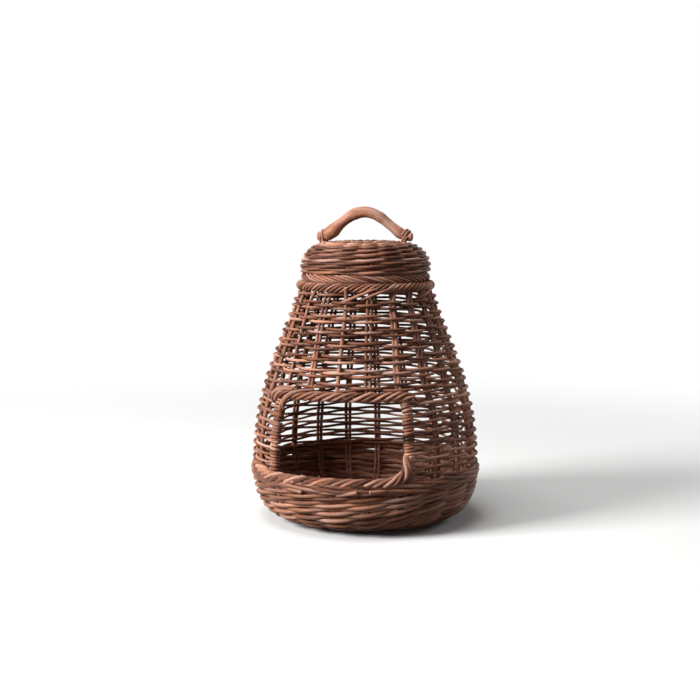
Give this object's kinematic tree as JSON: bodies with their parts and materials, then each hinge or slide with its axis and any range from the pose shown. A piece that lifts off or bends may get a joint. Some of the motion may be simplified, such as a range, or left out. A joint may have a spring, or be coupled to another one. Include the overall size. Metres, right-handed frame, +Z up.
{
  "type": "onion basket",
  "caption": "Beehive-shaped wicker onion basket with a front window between twisted borders, a rolled mouth and a lift-off domed lid with a bent-branch handle.",
  "frame": {"origin": "centre of the circle that the foot ring stands on, at the floor, which is the middle of the bottom of the box round the basket", "axes": "+Z up along the basket's axis; the window faces -Y; the handle runs along X"},
  "size_m": [0.314, 0.314, 0.4252],
  "materials": {
    "stake_rods": "semi-gloss stain on willow rods",
    "weaver_rods": "semi-gloss stain on willow rods",
    "border_rods": "semi-gloss stain on willow rods",
    "handle_branch": "smooth semi-gloss stained branch"
  },
  "bodies": {
    "basket": {"foot_ring": "weaver_rods", "base_stick_1": "weaver_rods", "base_stick_2": "weaver_rods", "base_stick_3": "weaver_rods", "base_stick_4": "weaver_rods", "base_weaver": "weaver_rods", "window_post_left": "stake_rods", "window_post_right": "stake_rods", "lower_stake_pair_1": "stake_rods", "lower_stake_pair_2": "stake_rods", "lower_stake_pair_3": "stake_rods", "upper_stake_pair_1": "stake_rods", "upper_stake_pair_2": "stake_rods", "upper_stake_pair_3": "stake_rods", "stake_pair_01": "stake_rods", "stake_pair_02": "stake_rods", "stake_pair_03": "stake_rods", "stake_pair_04": "stake_rods", "stake_pair_05": "stake_rods", "stake_pair_06": "stake_rods", "stake_pair_07": "stake_rods", "stake_pair_08": "stake_rods", "stake_pair_09": "stake_rods", "stake_pair_10": "stake_rods", "stake_pair_11": "stake_rods", "stake_pair_12": "stake_rods", "stake_pair_13": "stake_rods", "stake_pair_14": "stake_rods", "stake_pair_15": "stake_rods", "stake_pair_16": "stake_rods", "bowl_weaver_1": "weaver_rods", "bowl_weaver_2": "weaver_rods", "bowl_weaver_3": "weaver_rods", "side_weaver_1": "weaver_rods", "side_weaver_2": "weaver_rods", "upper_weaver_1": "weaver_rods", "upper_weaver_2": "weaver_rods", "upper_weaver_3": "weaver_rods", "sill_strand_1": "border_rods", "sill_strand_2": "border_rods", "head_strand_1": "border_rods", "head_strand_2": "border_rods", "mouth_strand_1": "border_rods", "mouth_strand_2": "border_rods"},
    "lid": {"lid_border_strand_1": "weaver_rods", "lid_border_strand_2": "weaver_rods", "lid_collar": "weaver_rods", "lid_stick_1": "weaver_rods", "lid_stick_2": "weaver_rods", "lid_stick_3": "weaver_rods", "lid_stick_4": "weaver_rods", "lid_side_weaver": "weaver_rods", "lid_crown_weaver": "weaver_rods", "handle": "handle_branch", "handle_lashing_left": "weaver_rods", "handle_lashing_right": "weaver_rods"}
  },
  "joints": [
    {"name": "lid_lift", "type": "slide", "parent": "basket", "child": "lid", "axis": [0, 0, 1], "range_m": [0, 0.12]}
  ]
}
